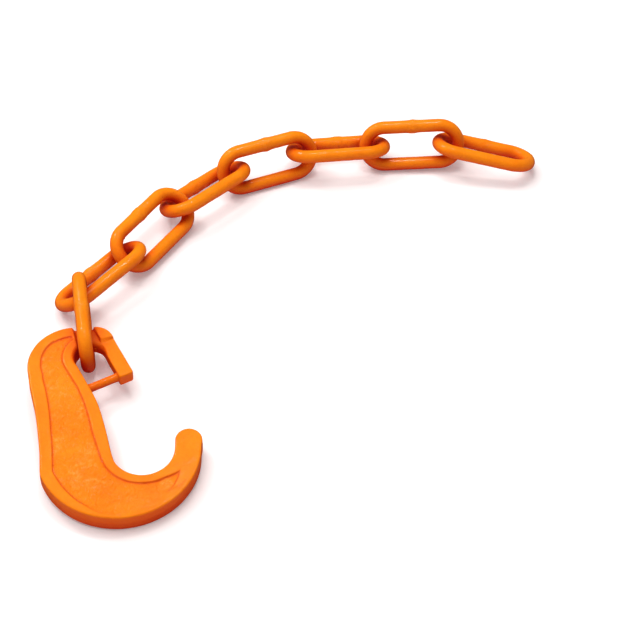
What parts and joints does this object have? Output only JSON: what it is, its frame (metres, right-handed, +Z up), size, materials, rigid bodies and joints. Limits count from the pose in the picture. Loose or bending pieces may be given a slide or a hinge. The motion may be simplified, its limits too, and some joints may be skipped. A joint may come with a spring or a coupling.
{
  "type": "safety chain hook",
  "caption": "Flat forged slip hook with a pinned eye gate and a tail of welded long-link chain, painted orange; the links swing on one another.",
  "frame": {"origin": "centre of the hook's throat circle, halfway through the hook's thickness", "axes": "+Z up from the ground the assembly lies on; +Y along the load line, from the throat towards the eye; +X towards the hook's nose"},
  "size_m": [0.4634, 0.277, 0.0417],
  "materials": {
    "hook_paint": "thick gloss enamel over rough forging",
    "pin_paint": "thick gloss enamel",
    "chain_paint": "thick gloss enamel over welded wire"
  },
  "bodies": {
    "hook": {"hook_body": "hook_paint", "retaining_pin": "pin_paint"},
    "link_1": {"chain_link_1": "chain_paint"},
    "link_2": {"chain_link_2": "chain_paint"},
    "link_3": {"chain_link_3": "chain_paint"},
    "link_4": {"chain_link_4": "chain_paint"},
    "link_5": {"chain_link_5": "chain_paint"},
    "link_6": {"chain_link_6": "chain_paint"},
    "link_7": {"chain_link_7": "chain_paint"},
    "link_8": {"chain_link_8": "chain_paint"}
  },
  "joints": [
    {"name": "eye_swivel", "type": "hinge", "parent": "hook", "child": "link_1", "pos_m": [-0.0022, 0.08561, 0.00829], "axis": [0, -0.0802, 0.9968], "range_deg": [-100, 100]},
    {"name": "link_2_bend", "type": "hinge", "parent": "link_1", "child": "link_2", "pos_m": [0.02155, 0.15268, 0.00376], "axis": [-0.1503, -0.4246, -0.8928], "range_deg": [-50, 45]},
    {"name": "link_3_bend", "type": "hinge", "parent": "link_2", "child": "link_3", "pos_m": [0.07377, 0.17357, 0.00543], "axis": [-0.4014, 0.738, -0.5425], "range_deg": [-60, 70]},
    {"name": "link_4_bend", "type": "hinge", "parent": "link_3", "child": "link_4", "pos_m": [0.12647, 0.19932, 0.0055], "axis": [-0.2831, 0.7342, 0.6172], "range_deg": [-45, 30]},
    {"name": "link_5_bend", "type": "hinge", "parent": "link_4", "child": "link_5", "pos_m": [0.18312, 0.20821, 0.00746], "axis": [0.2396, 0.869, -0.4329], "range_deg": [-85, 85]},
    {"name": "link_6_bend", "type": "hinge", "parent": "link_5", "child": "link_6", "pos_m": [0.23869, 0.20125, 0.0076], "axis": [0.0408, 0.4048, 0.9135], "range_deg": [-85, 85]},
    {"name": "link_7_bend", "type": "hinge", "parent": "link_6", "child": "link_7", "pos_m": [0.29156, 0.17822, 0.00747], "axis": [0.4142, 0.8113, -0.4127], "range_deg": [-85, 85]},
    {"name": "link_8_bend", "type": "hinge", "parent": "link_7", "child": "link_8", "pos_m": [0.3423, 0.15, 0.00741], "axis": [-0.3372, -0.2898, -0.8957], "range_deg": [-85, 85]}
  ]
}
